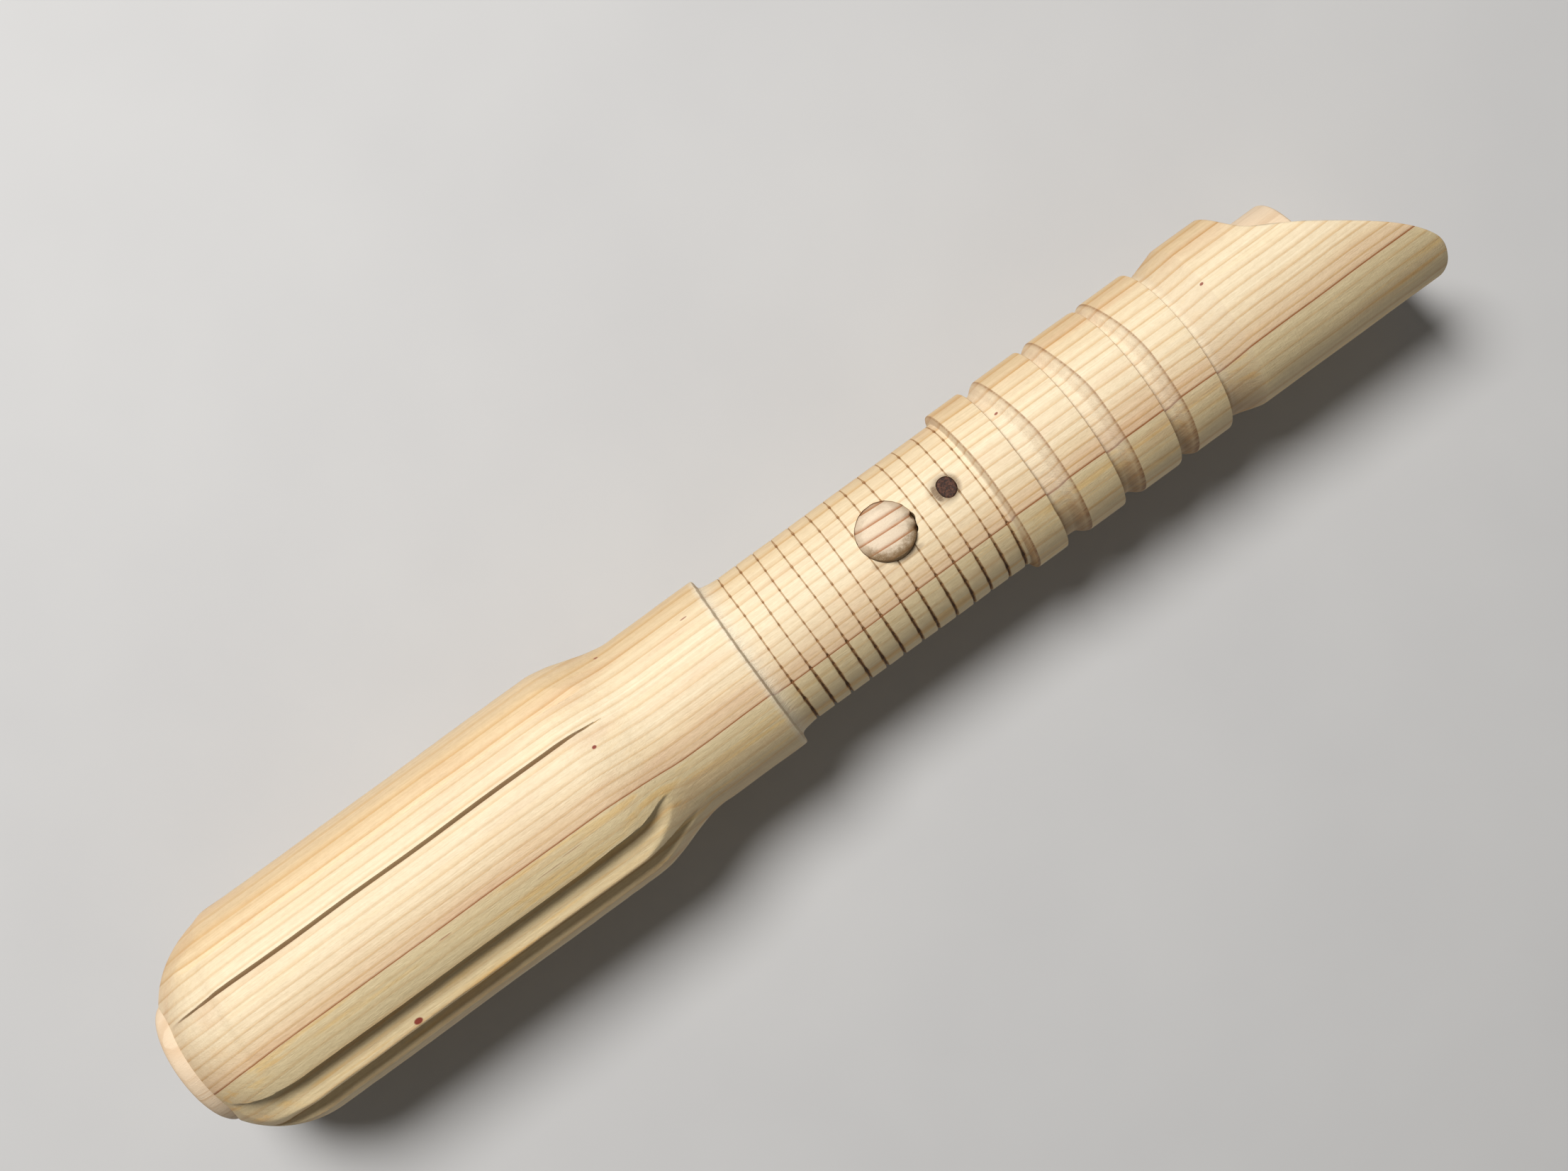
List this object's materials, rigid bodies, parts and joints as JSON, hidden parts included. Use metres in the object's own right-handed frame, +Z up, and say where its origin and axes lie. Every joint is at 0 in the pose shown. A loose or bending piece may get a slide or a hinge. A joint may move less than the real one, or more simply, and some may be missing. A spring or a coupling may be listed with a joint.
{
  "type": "turned wooden handle",
  "caption": "Hand-turned pine handle with a fluted round-ended grip, a finely grooved waist, raised rings, a domed button and a slanted tubular mouth around a core dowel.",
  "frame": {"origin": "on the surface that the handle lies on, below the middle of its length", "axes": "+X along the handle's axis from the rounded butt to the slanted mouth, +Z up as it lies with the button's side up"},
  "size_m": [0.2899, 0.047, 0.047],
  "materials": {
    "body_wood": "bare sanded pine, satin",
    "core_wood": "bare pine dowel, matte",
    "button_wood": "bare pine end grain, matte",
    "pin_wood": "dark brown, matte"
  },
  "bodies": {
    "root": {"turned_body": "body_wood", "core_dowel": "core_wood", "button_peg": "button_wood", "dark_pin": "pin_wood"}
  },
  "joints": []
}
